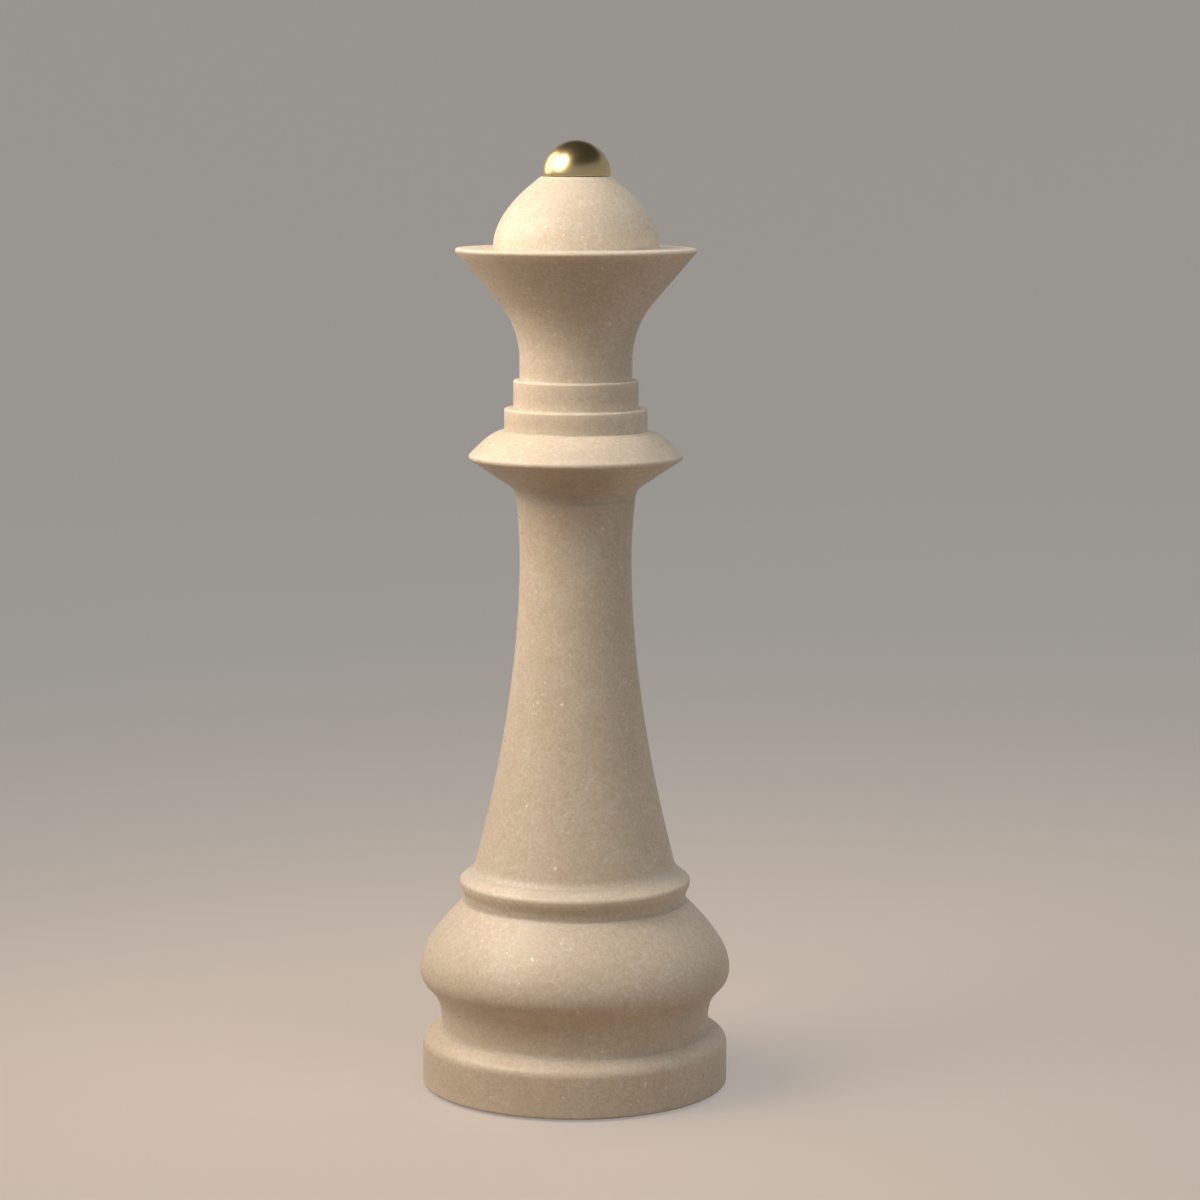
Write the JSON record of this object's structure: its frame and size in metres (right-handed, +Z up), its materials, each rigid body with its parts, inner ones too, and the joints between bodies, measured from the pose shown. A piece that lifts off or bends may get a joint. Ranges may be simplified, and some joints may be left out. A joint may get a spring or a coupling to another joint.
{
  "type": "decorative chess queen",
  "caption": "Tall turned stone chess queen with a flared crown, dome, collared neck, slender stem and bulbous foot, capped by a brass knob that screws on; stands free as an ornament.",
  "frame": {"origin": "centre of the underside, on the surface that the queen stands on", "axes": "+Z up along the turning axis; +X and +Y are alike, and -Y faces the viewer"},
  "size_m": [0.132, 0.132, 0.4],
  "materials": {
    "marble": "satin polished, cream, crystalline grain",
    "brass": "satin polished, pale",
    "zinc_steel": "zinc plated",
    "felt": "dark brown pressed felt",
    "nylon": "natural, matt"
  },
  "bodies": {
    "queen": {"felt_pad": "felt", "base_plinth": "marble", "base_bulb": "marble", "lower_collar": "marble", "stem": "marble", "upper_collar": "marble", "neck_ring_lower": "marble", "neck_ring_upper": "marble", "crown_cup": "marble", "crown_dome": "marble", "tie_rod": "zinc_steel", "bottom_nut": "zinc_steel", "spring_washer": "zinc_steel", "bottom_washer": "zinc_steel", "top_washer": "zinc_steel", "top_nut": "zinc_steel"},
    "knob_seat": {"knob_washer": "nylon"},
    "knob": {"finial_knob": "brass"}
  },
  "joints": [
    {"name": "knob_lift", "type": "slide", "parent": "queen", "child": "knob_seat", "axis": [0, 0, 1], "range_m": [0, 0.00876]},
    {"name": "knob_turn", "type": "hinge", "parent": "knob_seat", "child": "knob", "pos_m": [0, 0, 0.3852], "axis": [0, 0, 1], "range_deg": [0, 2520]}
  ],
  "couplings": [
    {"joint": "knob_lift", "follows": "knob_turn", "m_per_rad": 0.00019894}
  ]
}
